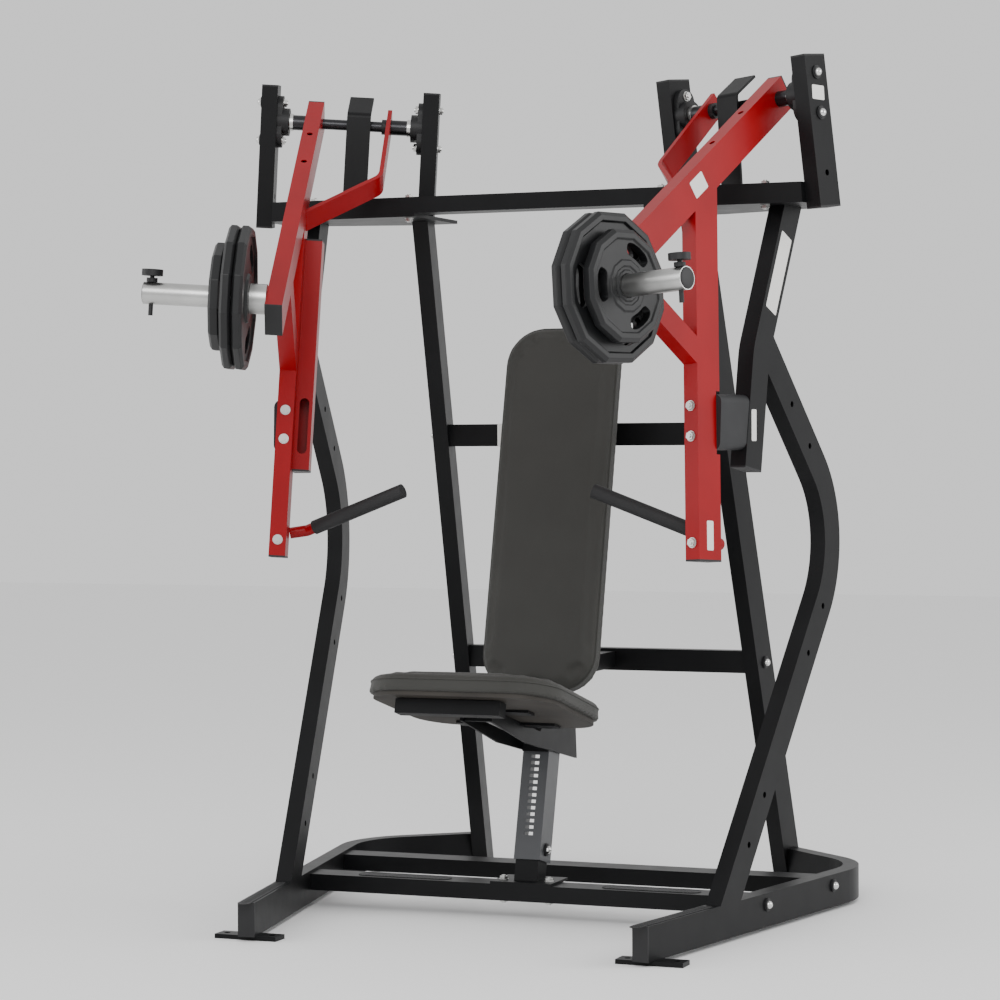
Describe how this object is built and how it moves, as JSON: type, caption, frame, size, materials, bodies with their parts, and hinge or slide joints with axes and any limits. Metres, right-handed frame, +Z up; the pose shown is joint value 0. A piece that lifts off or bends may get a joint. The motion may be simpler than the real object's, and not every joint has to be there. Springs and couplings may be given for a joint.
{
  "type": "chest press machine",
  "caption": "Plate-loaded seated chest press with two independent lever arms, weight plates on horns, an adjustable seat and a reclined back pad.",
  "frame": {"origin": "on the floor, in the middle of the bounding box", "axes": "+Z up, +Y to the back of the machine, +X to the side; the user sits facing -Y"},
  "size_m": [1.45, 1.5561, 1.9607],
  "materials": {
    "frame_paint": "fine satin powder coat",
    "arm_paint": "gloss powder coat",
    "post_paint": "satin grey powder coat",
    "pad_vinyl": "grained upholstery vinyl",
    "board_wood": "dark stained plywood",
    "plate_rubber": "moulded rubber, satin",
    "grip_rubber": "soft matt rubber",
    "bumper_rubber": "moulded rubber",
    "horn_steel": "zinc plated",
    "shaft_steel": "blackened steel",
    "bolt_chrome": "bright plated",
    "bearing_iron": "painted cast iron",
    "cap_plastic": "moulded nylon",
    "knob_plastic": "moulded nylon"
  },
  "bodies": {
    "frame": {"right_base_rail": "frame_paint", "left_base_rail": "frame_paint", "right_front_leg": "frame_paint", "left_front_leg": "frame_paint", "right_stop_post": "frame_paint", "left_stop_post": "frame_paint", "right_rear_upright": "frame_paint", "left_rear_upright": "frame_paint", "right_outer_post": "frame_paint", "left_outer_post": "frame_paint", "right_inner_post": "frame_paint", "left_inner_post": "frame_paint", "foot_plates": "frame_paint", "top_plates": "frame_paint", "top_crossbar": "frame_paint", "front_crossbar": "frame_paint", "rear_crossbar": "frame_paint", "upper_brace": "frame_paint", "lower_brace": "frame_paint", "bearing_units": "bearing_iron", "shaft_guards": "frame_paint", "stop_bumpers": "bumper_rubber", "end_caps": "cap_plastic", "frame_bolts": "bolt_chrome", "back_pad": "pad_vinyl", "back_board": "board_wood", "pad_brackets": "frame_paint", "seat_foot": "frame_paint", "seat_post": "post_paint"},
    "seat": {"seat_carriage": "frame_paint", "seat_board": "board_wood", "seat_pad": "pad_vinyl"},
    "seat_release": {"seat_latch": "horn_steel", "release_bar": "frame_paint"},
    "right_arm": {"right_arm_beam": "arm_paint", "right_arm_leg": "arm_paint", "right_arm_inner_leg": "arm_paint", "right_arm_brace": "arm_paint", "right_yoke_strap": "arm_paint", "right_pivot_shaft": "shaft_steel", "right_weight_horn": "horn_steel", "right_handle_bar": "arm_paint", "right_grip": "grip_rubber", "right_arm_fittings": "cap_plastic"},
    "right_plates": {"right_large_plates": "plate_rubber", "right_small_plate": "plate_rubber"},
    "right_pin": {"right_lock_pin": "knob_plastic"},
    "left_arm": {"left_arm_beam": "arm_paint", "left_arm_leg": "arm_paint", "left_arm_inner_leg": "arm_paint", "left_arm_brace": "arm_paint", "left_yoke_strap": "arm_paint", "left_pivot_shaft": "shaft_steel", "left_weight_horn": "horn_steel", "left_handle_bar": "arm_paint", "left_grip": "grip_rubber", "left_arm_fittings": "cap_plastic"},
    "left_plates": {"left_large_plates": "plate_rubber", "left_small_plate": "plate_rubber"},
    "left_pin": {"left_lock_pin": "knob_plastic"}
  },
  "joints": [
    {"name": "right_press", "type": "hinge", "parent": "frame", "child": "right_arm", "pos_m": [0.271, 0.186, 1.844], "axis": [-0.9349, 0.3496, -0.061], "range_deg": [0, 50]},
    {"name": "right_plates_slide", "type": "slide", "parent": "right_arm", "child": "right_plates", "axis": [0.9349, -0.3496, 0.061], "range_m": [0, 0.1]},
    {"name": "right_pin_pull", "type": "slide", "parent": "right_arm", "child": "right_pin", "axis": [-0.0572, 0.0214, 0.9981], "range_m": [0, 0.08]},
    {"name": "left_press", "type": "hinge", "parent": "frame", "child": "left_arm", "pos_m": [-0.271, 0.186, 1.844], "axis": [-0.9349, -0.3496, 0.061], "range_deg": [0, 50]},
    {"name": "left_plates_slide", "type": "slide", "parent": "left_arm", "child": "left_plates", "axis": [-0.9349, -0.3496, 0.061], "range_m": [0, 0.1]},
    {"name": "left_pin_pull", "type": "slide", "parent": "left_arm", "child": "left_pin", "axis": [0.0572, 0.0214, 0.9981], "range_m": [0, 0.08]},
    {"name": "seat_height", "type": "slide", "parent": "frame", "child": "seat", "axis": [0, 0.2588, 0.9659], "range_m": [-0.165, 0.015]},
    {"name": "seat_release_pull", "type": "slide", "parent": "seat", "child": "seat_release", "axis": [0, -0.9659, 0.2588], "range_m": [-0.0054, 0]}
  ]
}
